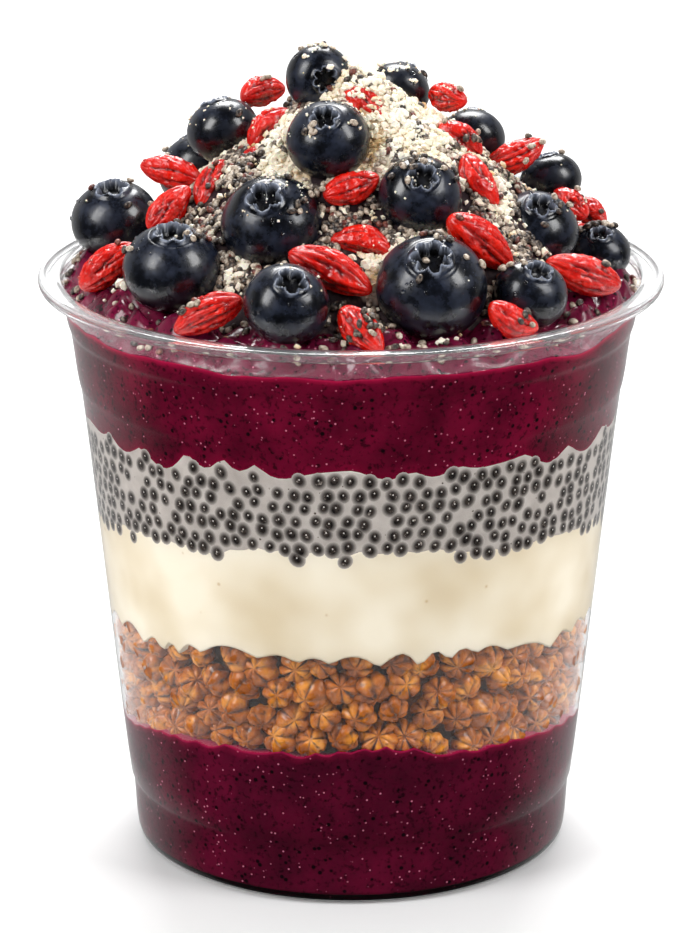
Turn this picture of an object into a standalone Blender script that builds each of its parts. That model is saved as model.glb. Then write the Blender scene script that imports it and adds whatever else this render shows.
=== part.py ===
"""Acai bowl: a clear cup of layered acai, granola, yogurt and chia pudding under a heap of fruit.

Units are metres, +Z is up, and the origin is the centre of the cup's base.
Sizes below are in millimetres and are scaled by MM where a mesh is made.
"""
import math
import random

import bmesh
import bpy
from mathutils import Matrix, Vector, noise

MM = 0.001
SIDES = 40                      # facets round the cup and its layers
GAP = 0.3                       # clearance between touching pieces

# --- cup ---------------------------------------------------------------
RIM_RADIUS = 49.0
RIM_TOP = 93.3
RIM_THICK = 1.4
WALL = 0.6
FLOOR_TOP = 1.3
FOOT_RECESS = 0.7
# outer wall from the foot up to the rim's underside: radius, height
WALL_OUTLINE = [(34.9, 2.4), (35.3, 10.0), (36.0, 11.2), (42.4, 75.0), (43.0, 76.4),
                (44.0, 84.8), (44.5, 85.6), (45.5, 91.2)]

# --- layers: mean height at the wall, and how much higher they stand at front and back
LEVELS = {"granola": (24.4, 2.2), "yogurt": (40.7, 1.7), "chia": (58.0, 2.0), "acai": (72.0, 0.7)}
ACAI_EDGE = 88.6
ACAI_SHELF = 89.0               # level part of the acai under the heap
HEAP_BASE = 89.3
HEAP_RADIUS = 36.0
HEAP_TOP = 125.0

# --- fruit -------------------------------------------------------------
BERRY_SIDES = 10
BERRY_FLATNESS = 0.87
GOJI_SIDES = 8
POCKET = 0.6                    # clearance left round a berry in the heap

# blueberries: x, y, height of the middle, diameter, heading and lean of the crown in degrees
BLUEBERRIES = [
    (-37.0, 4.0, 100.0, 13.6, 250, 15),
    (-20.0, 6.0, 114.0, 11.2, 150, 20),
    (-12.0, -16.5, 104.6, 15.4, 255, 38),
    (-27.0, -20.0, 98.5, 15.0, 275, 16),
    (-9.5, -36.0, 97.3, 12.6, 285, 36),
    (-3.5, -9.5, 116.0, 12.6, 260, 38),
    (-5.0, 3.0, 123.0, 10.2, 285, 82),
    (7.5, 10.0, 119.5, 9.6, 60, 40),
    (19.0, 7.0, 112.5, 10.2, 80, 30),
    (10.5, -16.0, 109.0, 12.4, 275, 45),
    (31.5, 8.0, 105.5, 9.6, 150, 15),
    (28.5, -6.0, 100.8, 13.2, 285, 30),
    (12.0, -30.0, 98.3, 16.4, 268, 36),
    (27.0, -26.0, 96.3, 11.0, 300, 30),
    (39.2, 3.0, 95.0, 9.4, 265, 26),
]

# goji berries: x, y, height of the middle, length, heading and dip of the leading end in degrees
GOJI = [
    (-14.0, 12.0, 118.8, 8.0, 35, -5),
    (2.5, -3.5, 119.5, 9.0, -25, 38),
    (-12.5, 0.5, 115.5, 9.0, 30, -35),
    (-13.0, -4.5, 111.2, 8.0, -30, 20),
    (-28.0, 1.0, 108.5, 10.0, -20, 10),
    (-21.5, -5.0, 108.0, 9.0, 60, -40),
    (-28.0, -8.5, 105.0, 9.0, 30, -40),
    (-37.5, -10.5, 96.4, 10.5, 10, -38),
    (-21.3, -33.0, 95.0, 11.0, 5, -25),
    (-3.0, -28.5, 100.4, 13.5, -15, 22),
    (1.5, -38.5, 94.0, 9.5, -45, 32),
    (1.5, -20.5, 102.5, 9.5, -10, 8),
    (0.0, -15.5, 110.0, 9.0, 20, -15),
    (15.0, 5.0, 119.5, 7.0, -40, 4),
    (17.0, -2.5, 114.5, 8.0, 10, 36),
    (19.5, -9.0, 109.5, 9.5, -45, 45),
    (25.5, 1.5, 111.0, 10.0, 15, -22),
    (19.5, -21.5, 103.1, 13.0, 20, 40),
    (34.3, 1.5, 103.3, 6.5, -20, 36),
    (38.0, 8.5, 100.2, 6.5, -50, 25),
    (35.5, -14.5, 96.2, 12.0, 5, 20),
    (24.0, -33.5, 94.3, 8.5, 15, 30),
]
HIDDEN_BLUEBERRIES = 8
HIDDEN_GOJI = 7
HIDDEN_FROM = 12.0              # the far side starts this far behind the middle


# --- helpers -------------------------------------------------------------
def clear_scene():
    for obj in list(bpy.data.objects):
        bpy.data.objects.remove(obj)


def material(name, colour, roughness, alpha=1.0):
    mat = bpy.data.materials.get(name) or bpy.data.materials.new(name)
    mat.use_nodes = True
    shader = mat.node_tree.nodes["Principled BSDF"]
    shader.inputs["Base Color"].default_value = (*colour, 1.0)
    shader.inputs["Roughness"].default_value = roughness
    shader.inputs["Alpha"].default_value = alpha
    return mat


def add_object(name, bm, mat):
    mesh = bpy.data.meshes.new(name)
    bmesh.ops.triangulate(bm, faces=bm.faces)
    bm.to_mesh(mesh)
    bm.free()
    mesh.shade_smooth()
    mesh.set_sharp_from_angle(angle=math.radians(40))
    mesh.materials.append(mat)
    obj = bpy.data.objects.new(name, mesh)
    bpy.context.scene.collection.objects.link(obj)
    return obj


def turned(outline, sides):
    """Spin an outline that starts and ends on the axis into a closed solid, still in millimetres."""
    bm = bmesh.new()
    verts = [bm.verts.new((radius, 0.0, height)) for radius, height in outline]
    edges = [bm.edges.new(pair) for pair in zip(verts, verts[1:])]
    bmesh.ops.spin(bm, geom=verts + edges, cent=(0, 0, 0), axis=(0, 0, 1),
                   angle=2 * math.pi, steps=sides, use_merge=True)
    bmesh.ops.remove_doubles(bm, verts=bm.verts, dist=0.001)
    bmesh.ops.recalc_face_normals(bm, faces=bm.faces)
    return bm


def to_metres(bm):
    bmesh.ops.transform(bm, matrix=Matrix.Scale(MM, 4), verts=bm.verts)


def interpolate(points, height):
    """Radius of an outline at a height, straight between its points."""
    if height <= points[0][1]:
        return points[0][0]
    for (r0, z0), (r1, z1) in zip(points, points[1:]):
        if height <= z1:
            return r0 + (r1 - r0) * (height - z0) / (z1 - z0)
    return points[-1][0]


def fill_radius(height):
    """Radius of the food at a height: the wall's inner face less the gap."""
    return interpolate(WALL_OUTLINE, height) - WALL - GAP


def smooth_step(low, high, value):
    t = min(max((value - low) / (high - low), 0.0), 1.0)
    return t * t * (3 - 2 * t)


# --- cup -----------------------------------------------------------------
def make_cup():
    foot = WALL_OUTLINE[0][0]
    outer = [(0, FOOT_RECESS), (28.4, FOOT_RECESS), (29.2, 0), (foot - 2.0, 0), (foot - 0.6, 0.7)]
    outer += WALL_OUTLINE
    rim_under = RIM_TOP - RIM_THICK
    rim = [(46.0, rim_under), (RIM_RADIUS - 0.4, rim_under), (RIM_RADIUS, rim_under + 0.4),
           (RIM_RADIUS, RIM_TOP - 0.4), (RIM_RADIUS - 0.4, RIM_TOP), (45.7, RIM_TOP)]
    inner = [(radius - WALL, height + 0.1) for radius, height in reversed(WALL_OUTLINE[1:])]
    floor = [(foot - WALL, 3.2), (foot - 1.7, 1.6), (foot - 3.4, FLOOR_TOP), (0, FLOOR_TOP)]
    bm = turned(outer + rim + inner + floor, SIDES)
    to_metres(bm)
    return add_object("cup", bm, material("clear_plastic", (0.9, 0.92, 0.93), 0.05, 0.3))


# --- layers --------------------------------------------------------------
def level_height(name, azimuth):
    """Height at the wall of the joint under a layer, uneven round the cup."""
    mean, rise = LEVELS[name]
    phase = mean
    ripple = 0.45 * math.sin(7 * azimuth + phase) + 0.3 * math.sin(11 * azimuth + 2 * phase)
    return mean - rise * math.cos(2 * azimuth) + ripple


def shape_layer(bm, under, over):
    """Move a layer's lowest and highest rings to the joints under and over it."""
    heights = [v.co.z for v in bm.verts]
    low, high = min(heights), max(heights)
    for v in bm.verts:
        radius = math.hypot(v.co.x, v.co.y)
        if radius < 1.0:
            continue
        azimuth = math.atan2(v.co.y, v.co.x)
        if under and v.co.z < low + 0.01:
            v.co.z = level_height(under, azimuth) + GAP / 2
        elif over and v.co.z > high - 0.01:
            v.co.z = level_height(over, azimuth) - GAP / 2
        else:
            continue
        scale = fill_radius(v.co.z) / radius
        v.co.x *= scale
        v.co.y *= scale


def make_layer(name, under, over, mat):
    low = LEVELS[under][0] + GAP / 2
    high = LEVELS[over][0] - GAP / 2
    bm = turned([(0, low), (fill_radius(low), low), (fill_radius(high), high), (0, high)], SIDES)
    shape_layer(bm, under, over)
    to_metres(bm)
    return add_object(name, bm, mat)


def make_acai_base():
    high = LEVELS["granola"][0] - GAP / 2
    foot = WALL_OUTLINE[0][0] - WALL - GAP
    floor = FLOOR_TOP + GAP
    outline = [(0, floor), (foot - 2.8, floor + 0.1), (foot - 1.2, floor + 0.5), (foot - 0.1, 3.6)]
    outline += [(radius - WALL - GAP, height + 0.1) for radius, height in WALL_OUTLINE[1:3]]
    outline += [(fill_radius(high), high), (0, high)]
    bm = turned(outline, SIDES)
    shape_layer(bm, None, "granola")
    to_metres(bm)
    return add_object("acai_base", bm, material("acai", (0.17, 0.012, 0.04), 0.35))


# --- heap and the acai it rests on -----------------------------------------
def heap_height(x, y):
    """Outline of the heap: straight down at front and back, rounder at the sides."""
    radius = math.hypot(x, y)
    sideways = (x / radius) ** 2 if radius > 0.5 else 0.5
    steep = 0.92 - 0.47 * sideways
    bend = 0.001 + 0.0075 * sideways
    lumps = 1.1 * noise.noise(Vector((x, y, 0.0)) / 6.0)
    slope = HEAP_TOP - steep * radius - bend * radius ** 2 + lumps
    foot = smooth_step(HEAP_RADIUS, HEAP_RADIUS - 4.0, radius)
    return HEAP_BASE + 1.0 + (slope - HEAP_BASE - 1.0) * foot


def under_fruit(x, y, surface, fruit):
    """Lower a surface so that it passes under the fruit with clearance."""
    for centre, radius in fruit:
        reach = radius + POCKET
        away = math.hypot(x - centre.x, y - centre.y)
        if away < reach:
            surface = min(surface, centre.z - math.sqrt(reach ** 2 - away ** 2))
        elif away < reach + 1.6:
            surface = min(surface, centre.z)
    return surface


def make_heap(fruit):
    rings = 26
    sides = 96
    radii = [HEAP_RADIUS * (1 - i / rings) for i in range(rings + 1)]
    outline = [(0, HEAP_BASE)] + [(HEAP_RADIUS, HEAP_BASE)] + [(r, HEAP_TOP) for r in radii]
    bm = turned(outline, sides)
    for v in bm.verts:
        if v.co.z > HEAP_TOP - 1:
            top = under_fruit(v.co.x, v.co.y, heap_height(v.co.x, v.co.y), fruit)
            v.co.z = max(top, HEAP_BASE + 0.5)
    to_metres(bm)
    heap = add_object("coconut_heap", bm, material("coconut", (0.8, 0.72, 0.6), 0.8))
    thin = heap.modifiers.new("thin_out", "DECIMATE")
    thin.ratio = 0.34
    return heap


def make_acai_top(fruit):
    low = LEVELS["acai"][0] + GAP / 2
    steps = [(radius - WALL - GAP, height) for radius, height in WALL_OUTLINE[3:7]]
    edge = fill_radius(ACAI_EDGE)
    rings = [(edge, ACAI_EDGE), (42.2, 89.4), (40.4, 90.6), (38.4, 90.8), (36.6, ACAI_SHELF)]
    outline = [(0, low), (fill_radius(low), low)] + steps + rings + [(0, ACAI_SHELF)]
    bm = turned(outline, SIDES)
    shape_layer(bm, "acai", None)
    for v in bm.verts:
        radius = math.hypot(v.co.x, v.co.y)
        if v.co.z < ACAI_EDGE - 1 or radius < 36.0:
            continue
        swell = 0.9 * noise.noise(Vector((v.co.x, v.co.y, 3.0)) / 9.0)
        top = v.co.z + (swell if radius > 37.5 else 0.0)
        for centre, reach in fruit:
            if math.hypot(v.co.x - centre.x, v.co.y - centre.y) < reach + 4.0:
                top = min(top, centre.z - reach - POCKET)
        v.co.z = max(top, 87.0)
    to_metres(bm)
    return add_object("acai_top", bm, bpy.data.materials["acai"])


# --- fruit -----------------------------------------------------------------
def pointing(heading, tilt):
    """Unit vector with a heading round Z and a tilt down from Z, in degrees."""
    h, t = math.radians(heading), math.radians(tilt)
    return Vector((math.sin(t) * math.cos(h), math.sin(t) * math.sin(h), math.cos(t)))


def place(bm, centre, axis):
    turn = Vector((0, 0, 1)).rotation_difference(axis).to_matrix().to_4x4()
    bmesh.ops.transform(bm, matrix=Matrix.Translation(centre) @ turn, verts=bm.verts)


def make_blueberry(name, centre, diameter, axis):
    """An oblate berry with a five-pointed crown round a hollow."""
    radius = diameter / 2
    high = radius * BERRY_FLATNESS
    lip = 0.40
    outline = [(0, -high), (0.60 * radius, -0.79 * high), (0.96 * radius, -0.28 * high),
               (0.96 * radius, 0.32 * high), (0.62 * radius, 0.80 * high), (lip * radius, 0.98 * high),
               (0.28 * radius, 0.86 * high), (0, 0.78 * high)]
    bm = turned(outline, BERRY_SIDES)
    for v in bm.verts:
        across = math.hypot(v.co.x, v.co.y) / radius
        point = round(math.atan2(v.co.y, v.co.x) / (2 * math.pi / BERRY_SIDES))
        if v.co.z > 0 and abs(across - lip) < 0.02 and point % 2:
            v.co.x *= 0.8
            v.co.y *= 0.8
            v.co.z -= 0.05 * high
    place(bm, centre, axis)
    to_metres(bm)
    return add_object(name, bm, material("blueberry", (0.02, 0.03, 0.07), 0.45))


def goji_width(length):
    return 2.4 + 0.28 * length


def make_goji(name, centre, length, axis, seed):
    """A dried goji berry: a spindle with lengthwise folds."""
    half = length / 2
    width = goji_width(length) / 2
    outline = [(0, -half), (0.62 * width, -0.76 * half), (0.97 * width, -0.2 * half),
               (0.92 * width, 0.32 * half), (0.52 * width, 0.82 * half), (0, half)]
    bm = turned(outline, GOJI_SIDES)
    draw = random.Random(seed)
    fold = [1.0 - 0.16 * (side % 2) * draw.uniform(0.5, 1.0) for side in range(GOJI_SIDES)]
    for v in bm.verts:
        side = round(math.atan2(v.co.y, v.co.x) / (2 * math.pi / GOJI_SIDES)) % GOJI_SIDES
        v.co.x *= fold[side]
        v.co.y *= fold[side]
    place(bm, centre, axis)
    to_metres(bm)
    return add_object(name, bm, material("goji", (0.6, 0.015, 0.008), 0.3))


def blueberry_balls(centre, diameter, _axis):
    return [(centre, diameter / 2)]


def goji_balls(centre, length, axis):
    """Balls along a goji berry that together enclose it."""
    width = goji_width(length) / 2
    reach = length / 2 - 0.55 * width
    balls = []
    for step in (-1.0, -0.5, 0.0, 0.5, 1.0):
        balls.append((centre + axis * (reach * step), width * (1.0 - 0.32 * step * step)))
    return balls


def clear_of(balls, taken, gap):
    for centre, radius in balls:
        for other, reach in taken:
            if (centre - other).length < radius + reach + gap:
                return False
    return True


def scatter_hidden(taken, draw):
    """Berries on the far side of the heap, each where it is clear of those already placed."""
    found = []
    wanted = ["blueberry"] * HIDDEN_BLUEBERRIES + ["goji"] * HIDDEN_GOJI
    for index, kind in enumerate(wanted):
        for _ in range(4000):
            azimuth = math.radians(draw.uniform(8, 172))
            radius = 38.5 * math.sqrt(draw.uniform(0.03, 1.0))
            x, y = radius * math.cos(azimuth), radius * math.sin(azimuth)
            if kind == "blueberry":
                size = draw.uniform(12.5, 15.5) if index < 5 else draw.uniform(10.0, 12.0)
                rise = 0.25 * size
                axis = pointing(math.degrees(azimuth) + draw.uniform(-50, 50), draw.uniform(10, 45))
                reach = size / 2
            else:
                size = draw.uniform(9.0, 13.0)
                rise = 1.6
                axis = pointing(math.degrees(azimuth) + draw.uniform(-90, 90), draw.uniform(65, 115))
                reach = goji_width(size) / 2
            low = ACAI_SHELF + 2.4 + reach
            centre = Vector((x, y, max(heap_height(x, y) + rise, low)))
            if radius + reach > 43.5 or y < HIDDEN_FROM:
                continue
            balls = (blueberry_balls if kind == "blueberry" else goji_balls)(centre, size, axis)
            if min(ball.z - r for ball, r in balls) < ACAI_SHELF + 2.0:
                continue
            if clear_of(balls, taken, 0.5):
                taken.extend(balls)
                found.append((kind, centre, size, axis))
                break
    return found


def lay_out_fruit():
    """All the fruit as (kind, centre, size, axis), and the balls that enclose it."""
    fruit = []
    for x, y, z, diameter, heading, lean in BLUEBERRIES:
        fruit.append(("blueberry", Vector((x, y, z)), diameter, pointing(heading, lean)))
    for x, y, z, length, heading, dip in GOJI:
        fruit.append(("goji", Vector((x, y, z)), length, pointing(heading, 90 + dip)))
    balls = []
    for kind, centre, size, axis in fruit:
        balls.extend((blueberry_balls if kind == "blueberry" else goji_balls)(centre, size, axis))
    fruit.extend(scatter_hidden(balls, random.Random(11)))
    return fruit, balls


def main():
    clear_scene()
    fruit, balls = lay_out_fruit()
    make_cup()
    make_acai_base()
    make_layer("granola_layer", "granola", "yogurt", material("granola", (0.5, 0.2, 0.04), 0.6))
    make_layer("yogurt_layer", "yogurt", "chia", material("yogurt", (0.86, 0.8, 0.68), 0.45))
    make_layer("chia_pudding", "chia", "acai", material("chia", (0.45, 0.43, 0.4), 0.4))
    make_acai_top(balls)
    make_heap(balls)
    counts = {"blueberry": 0, "goji": 0}
    for kind, centre, size, axis in fruit:
        counts[kind] += 1
        name = f"{kind}_{counts[kind]:02d}"
        if kind == "blueberry":
            make_blueberry(name, centre, size, axis)
        else:
            make_goji(name, centre, size, axis, counts[kind])


main()
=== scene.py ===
"""Finish and surroundings of an acai bowl: a clear cup of layered fruit puree, granola, yogurt and
chia pudding, heaped with blueberries, goji berries, coconut crumb and seeds.

Lengths in the tables below are millimetres; MM turns them into the frame's metres.
"""
import math
import random

import bmesh
import bpy
from mathutils import Matrix, Vector, noise
from mathutils.bvhtree import BVHTree


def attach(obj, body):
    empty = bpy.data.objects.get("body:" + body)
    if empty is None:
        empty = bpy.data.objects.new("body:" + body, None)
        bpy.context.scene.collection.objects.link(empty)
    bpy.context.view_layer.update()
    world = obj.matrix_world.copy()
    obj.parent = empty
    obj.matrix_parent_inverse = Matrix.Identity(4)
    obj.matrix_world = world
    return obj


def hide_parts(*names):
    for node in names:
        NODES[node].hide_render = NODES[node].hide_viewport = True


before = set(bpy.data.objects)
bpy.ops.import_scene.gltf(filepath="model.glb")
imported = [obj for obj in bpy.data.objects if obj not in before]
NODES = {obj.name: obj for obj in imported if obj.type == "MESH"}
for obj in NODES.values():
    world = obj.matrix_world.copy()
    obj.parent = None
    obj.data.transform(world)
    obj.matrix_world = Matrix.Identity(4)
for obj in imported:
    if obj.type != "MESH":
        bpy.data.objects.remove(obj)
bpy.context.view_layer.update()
BODY = "root"
MM = 0.001

# --- cup: outer wall as radius and height above the base, in millimetres ---
WALL = 0.6
WALL_OUTLINE = [(34.9, 2.4), (35.3, 10.0), (36.0, 11.2), (42.4, 75.0), (43.0, 76.4),
                (44.0, 84.8), (44.5, 85.6), (45.5, 91.2)]
SIDES = 216                      # of the cup and of the layers inside it
FOOD_INTO_WALL = 0.2             # how far the food reaches into the wall

# --- layers: mean height of each joint at the wall, and its extra height at front and back ---
JOINTS = {"granola": (24.4, 2.2), "yogurt": (40.7, 1.7), "chia": (58.0, 2.0), "acai": (72.0, 0.7)}
ACAI_EDGE = 88.6

CHIA_SPACING = 2.5               # between seeds in the gel
CLUSTER_SPACING = 5.3            # between granola clusters in a row
CLUSTER_ROW = 4.3                # height of a row of clusters

# --- camera: focal length in millimetres, place in metres, degrees below level ---
LENS = 152.7
CAMERA_PLACE = (-0.00017, -0.600, 0.2523)
CAMERA_DOWN = 17.71

BLUEBERRIES = sorted(name for name in NODES if name.startswith("blueberry"))
GOJI = sorted(name for name in NODES if name.startswith("goji"))


# =============================================================== mesh helpers
def finish_piece(name, bm, mats, replaced=(), smooth=True):
    """Turn a bmesh in millimetres into a finished piece that rides on the body."""
    if not isinstance(mats, (list, tuple)):
        mats = [mats]
    bmesh.ops.transform(bm, matrix=Matrix.Scale(MM, 4), verts=bm.verts)
    mesh = bpy.data.meshes.new(name)
    bm.to_mesh(mesh)
    bm.free()
    if smooth:
        mesh.shade_smooth()
    for mat in mats:
        mesh.materials.append(mat)
    obj = bpy.data.objects.new(name, mesh)
    bpy.context.scene.collection.objects.link(obj)
    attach(obj, BODY)
    if replaced:
        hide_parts(*replaced)
    return obj


def turned(outline, sides):
    """Spin an outline round the Z axis; a full turn whose ends may lie on the axis."""
    bm = bmesh.new()
    verts = [bm.verts.new((radius, 0.0, height)) for radius, height in outline]
    edges = [bm.edges.new(pair) for pair in zip(verts, verts[1:])]
    bmesh.ops.spin(bm, geom=verts + edges, cent=(0, 0, 0), axis=(0, 0, 1),
                   angle=2 * math.pi, steps=sides, use_merge=True)
    bmesh.ops.remove_doubles(bm, verts=bm.verts, dist=0.0005)
    bmesh.ops.recalc_face_normals(bm, faces=bm.faces)
    return bm


def rounded(points, turns=3):
    """Cut the corners of an outline so that it bends softly; its ends stay."""
    for _ in range(turns):
        smoother = [points[0]]
        for (r0, z0), (r1, z1) in zip(points, points[1:]):
            smoother.append((0.75 * r0 + 0.25 * r1, 0.75 * z0 + 0.25 * z1))
            smoother.append((0.25 * r0 + 0.75 * r1, 0.25 * z0 + 0.75 * z1))
        smoother.append(points[-1])
        points = smoother
    return points


SOFT_WALL = rounded(WALL_OUTLINE, 2)


def interpolate(points, height):
    if height <= points[0][1]:
        return points[0][0]
    for (r0, z0), (r1, z1) in zip(points, points[1:]):
        if height <= z1:
            return r0 + (r1 - r0) * (height - z0) / (z1 - z0)
    return points[-1][0]


def food_radius(height):
    return interpolate(SOFT_WALL, height) - WALL + FOOD_INTO_WALL


def smooth_step(low, high, value):
    t = min(max((value - low) / (high - low), 0.0), 1.0)
    return t * t * (3 - 2 * t)


def fractal(point, scale, seed=0.0):
    """Layered noise of a point in millimetres, about -1 to 1."""
    p = Vector(point) / scale + Vector((seed, seed * 1.7, -seed))
    return noise.noise(p) + 0.5 * noise.noise(2.1 * p) + 0.25 * noise.noise(4.3 * p)


def copies(template, places):
    """Join many moved copies of a template bmesh into one."""
    base = bpy.data.meshes.new("template")
    template.to_mesh(base)
    template.free()
    out = bmesh.new()
    for matrix in places:
        add_copy(out, base, matrix)
    bpy.data.meshes.remove(base)
    return out


def add_copy(out, base, matrix):
    """Add one moved copy of a mesh to a bmesh."""
    moved = base.copy()
    moved.transform(matrix)
    out.from_mesh(moved)
    bpy.data.meshes.remove(moved)


# =============================================================== material helpers
def srgb(red, green, blue):
    """Linear colour from 0-255 display values."""
    def linear(value):
        value /= 255
        return value / 12.92 if value <= 0.04045 else ((value + 0.055) / 1.055) ** 2.4
    return (linear(red), linear(green), linear(blue), 1.0)


class Finish:
    """A Principled material built up node by node from Object coordinates."""

    def __init__(self, name, **values):
        self.mat = bpy.data.materials.new(name)
        self.mat.use_nodes = True
        self.tree = self.mat.node_tree
        self.shader = self.tree.nodes["Principled BSDF"]
        for socket, value in values.items():
            self.shader.inputs[socket.replace("_", " ")].default_value = value
        self.coords = self.tree.nodes.new("ShaderNodeTexCoord").outputs["Object"]

    def link(self, output, socket):
        self.tree.links.new(output, self.shader.inputs[socket])

    def noise(self, size, detail=3.0, roughness=0.55):
        node = self.tree.nodes.new("ShaderNodeTexNoise")
        node.inputs["Scale"].default_value = 1.0 / (size * MM)
        node.inputs["Detail"].default_value = detail
        node.inputs["Roughness"].default_value = roughness
        self.tree.links.new(self.coords, node.inputs["Vector"])
        return node.outputs["Fac"]

    def cells(self, size, feature="F1", randomness=1.0):
        node = self.tree.nodes.new("ShaderNodeTexVoronoi")
        node.feature = feature
        node.inputs["Scale"].default_value = 1.0 / (size * MM)
        node.inputs["Randomness"].default_value = randomness
        self.tree.links.new(self.coords, node.inputs["Vector"])
        return node

    def ramp(self, value, *stops):
        """Colours at positions along a value."""
        node = self.tree.nodes.new("ShaderNodeValToRGB")
        points = node.color_ramp.elements
        while len(points) < len(stops):
            points.new(0.5)
        for point, (position, colour) in zip(points, stops):
            point.position = position
            point.color = colour
        self.tree.links.new(value, node.inputs["Fac"])
        return node.outputs["Color"]

    def step(self, value, low, high, start=0.0, end=1.0):
        node = self.tree.nodes.new("ShaderNodeMapRange")
        node.interpolation_type = "SMOOTHSTEP"
        for socket, number in zip(("From Min", "From Max", "To Min", "To Max"), (low, high, start, end)):
            node.inputs[socket].default_value = number
        self.tree.links.new(value, node.inputs["Value"])
        return node.outputs["Result"]

    def math(self, operation, first, second):
        node = self.tree.nodes.new("ShaderNodeMath")
        node.operation = operation
        for socket, value in zip(node.inputs, (first, second)):
            if isinstance(value, (int, float)):
                socket.default_value = value
            else:
                self.tree.links.new(value, socket)
        return node.outputs[0]

    def mix(self, amount, first, second, blend="MIX"):
        node = self.tree.nodes.new("ShaderNodeMix")
        node.data_type = "RGBA"
        node.blend_type = blend
        for socket, value in ((node.inputs[0], amount), (node.inputs[6], first), (node.inputs[7], second)):
            if isinstance(value, (int, float, tuple)):
                socket.default_value = value
            else:
                self.tree.links.new(value, socket)
        return node.outputs[2]

    def attribute(self, name):
        node = self.tree.nodes.new("ShaderNodeAttribute")
        node.attribute_name = name
        return node

    def bump(self, value, strength, depth):
        node = self.tree.nodes.new("ShaderNodeBump")
        node.inputs["Strength"].default_value = strength
        node.inputs["Distance"].default_value = depth * MM
        self.tree.links.new(value, node.inputs["Height"])
        self.link(node.outputs["Normal"], "Normal")


# =============================================================== materials
def clear_plastic():
    finish = Finish("clear_plastic", Roughness=0.03, IOR=1.45, Transmission_Weight=1.0)
    finish.shader.inputs["Base Color"].default_value = (0.985, 0.99, 0.99, 1.0)
    return finish.mat


def rim_plastic():
    """The curled rim lets a little less light through and shows a little diffuse white: painted reflection
    for the light caught in its thick curl.
    """
    finish = Finish("rim_plastic", Roughness=0.05, IOR=1.45, Transmission_Weight=0.96)
    finish.shader.inputs["Base Color"].default_value = (0.95, 0.955, 0.96, 1.0)
    return finish.mat


def acai_finish(name, dark, light, gloss, wetness):
    """Frozen puree with dark skin specks and tiny ice sparkles painted in as pale highlights."""
    finish = Finish(name, Specular_IOR_Level=gloss)
    tone = finish.noise(9.0, 4.0)
    colour = finish.ramp(tone, (0.30, dark), (0.70, light))
    fleck = finish.step(finish.noise(0.9, 3.0, 0.6), 0.52, 0.68)
    colour = finish.mix(finish.math("MULTIPLY", fleck, 0.75), colour, srgb(26, 3, 12))
    specks = finish.cells(1.5)
    speck_mask = finish.step(specks.outputs["Distance"], 0.16, 0.30, 1.0, 0.0)
    pick = finish.step(finish.noise(2.4, 1.0), 0.44, 0.56)
    colour = finish.mix(finish.math("MULTIPLY", speck_mask, pick), colour, srgb(18, 3, 10))
    # painted highlight: pale pink dots stand in for ice sparkles
    sparkle = finish.cells(1.1)
    spark_mask = finish.step(sparkle.outputs["Distance"], 0.09, 0.17, 1.0, 0.0)
    lucky = finish.step(finish.noise(2.1, 1.0), 0.46, 0.56)
    colour = finish.mix(finish.math("MULTIPLY", spark_mask, lucky), colour, srgb(208, 120, 146))
    finish.link(colour, "Base Color")
    finish.link(finish.step(finish.noise(4.0, 2.0), 0.3, 0.7, wetness, wetness + 0.18), "Roughness")
    finish.bump(finish.noise(1.6, 3.0), 0.25, 0.25)
    return finish


def granola_finish(name, shade):
    """Caramel glaze with painted shade in the creases, which leaves the lobe tops light as a painted
    highlight; painted shade dims the clusters that lie further in.
    """
    finish = Finish(name, Specular_IOR_Level=0.45)
    tone = finish.noise(3.2, 4.0)
    colour = finish.ramp(tone, (0.28, srgb(112, 50, 0)), (0.5, srgb(176, 94, 8)), (0.72, srgb(232, 156, 48)))
    crease = finish.attribute("crease")
    # painted shade: grooves, dimples and wrinkles (low crease value) are darkened towards dark brown, so the
    # lobe tops read as painted highlight
    colour = finish.mix(finish.step(crease.outputs["Fac"], 0.15, 0.85, 0.0, 1.0), srgb(58, 20, 2), colour)
    # painted shade: the whole colour is dimmed by shade for clusters that lie further in
    finish.link(finish.mix(shade, colour, srgb(30, 10, 2)), "Base Color")
    finish.link(finish.step(finish.noise(1.4, 2.0), 0.35, 0.7, 0.16, 0.36), "Roughness")
    finish.bump(finish.noise(0.7, 3.0), 0.25, 0.18)
    return finish.mat


def yogurt_finish():
    finish = Finish("yogurt_cream", Roughness=0.5, Specular_IOR_Level=0.0)
    tone = finish.noise(16.0, 2.0)
    colour = finish.ramp(tone, (0.34, srgb(220, 206, 179)), (0.64, srgb(240, 232, 215)))
    fleck = finish.cells(5.0)
    mask = finish.step(fleck.outputs["Distance"], 0.03, 0.09, 0.6, 0.0)
    finish.link(finish.mix(mask, colour, srgb(196, 168, 122)), "Base Color")
    return finish.mat


def gel_finish():
    finish = Finish("chia_gel", Roughness=0.5, Specular_IOR_Level=0.0)
    tone = finish.noise(4.0, 3.0)
    colour = finish.ramp(tone, (0.3, srgb(174, 166, 160)), (0.7, srgb(200, 193, 187)))
    fleck = finish.cells(1.6)
    mask = finish.step(fleck.outputs["Distance"], 0.08, 0.15, 0.9, 0.0)
    pick = finish.step(finish.noise(2.0, 1.0), 0.48, 0.56)
    finish.link(finish.mix(finish.math("MULTIPLY", mask, pick), colour, srgb(62, 48, 38)), "Base Color")
    return finish.mat


def halo_finish():
    """Gel drawn dark by the seed inside it: paler outwards, after the crease attribute."""
    finish = Finish("seed_halo", Roughness=0.5, Specular_IOR_Level=0.0)
    depth = finish.attribute("crease")
    colour = finish.ramp(depth.outputs["Fac"], (0.0, srgb(194, 187, 181)), (0.3, srgb(142, 136, 131)),
                         (0.55, srgb(82, 77, 74)), (0.8, srgb(46, 42, 41)))
    finish.link(colour, "Base Color")
    return finish.mat


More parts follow.
